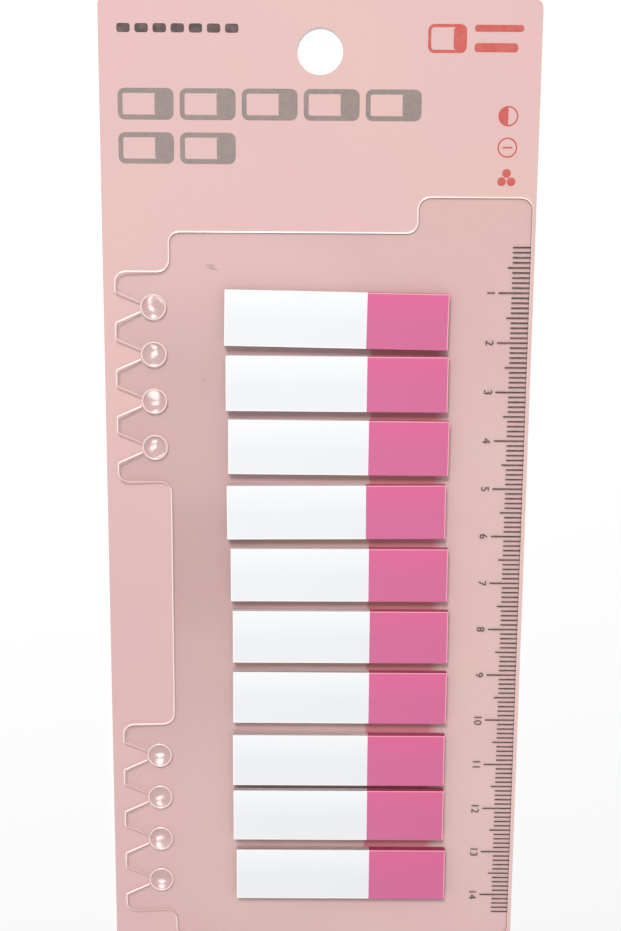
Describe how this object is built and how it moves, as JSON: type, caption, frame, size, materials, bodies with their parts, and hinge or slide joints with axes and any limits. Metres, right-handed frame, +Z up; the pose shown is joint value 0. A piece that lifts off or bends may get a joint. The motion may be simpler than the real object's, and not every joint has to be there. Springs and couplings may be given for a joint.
{
  "type": "sticky index tabs",
  "caption": "Pads of two-colour sticky index tabs in a column on a clear loose-leaf ruler sheet with a toothed ring edge, on a paperboard card with a hang hole.",
  "frame": {"origin": "under the middle of the backing card, at the centre of the part's box, on the surface that it lies on", "axes": "+Y along the card towards its hang hole, +X across it towards the ruler, +Z up through its thickness"},
  "size_m": [0.086, 0.2, 0.0025],
  "materials": {
    "backing_card": "matt printed paperboard, mottled peach and lilac pink",
    "ruler_sheet": "clear gloss film with a dark brown printed ruler",
    "hole_plug": "clear gloss film",
    "tab_pad": "smooth satin leaves, white with a deep pink end"
  },
  "bodies": {
    "root": {"backing_card": "backing_card", "ruler_sheet": "ruler_sheet", "hole_plug_1": "hole_plug", "hole_plug_2": "hole_plug", "hole_plug_3": "hole_plug", "hole_plug_4": "hole_plug", "hole_plug_5": "hole_plug", "hole_plug_6": "hole_plug", "hole_plug_7": "hole_plug", "hole_plug_8": "hole_plug", "tab_pad_01": "tab_pad", "tab_pad_02": "tab_pad", "tab_pad_03": "tab_pad", "tab_pad_04": "tab_pad", "tab_pad_05": "tab_pad", "tab_pad_06": "tab_pad", "tab_pad_07": "tab_pad", "tab_pad_08": "tab_pad", "tab_pad_09": "tab_pad", "tab_pad_10": "tab_pad"}
  },
  "joints": []
}
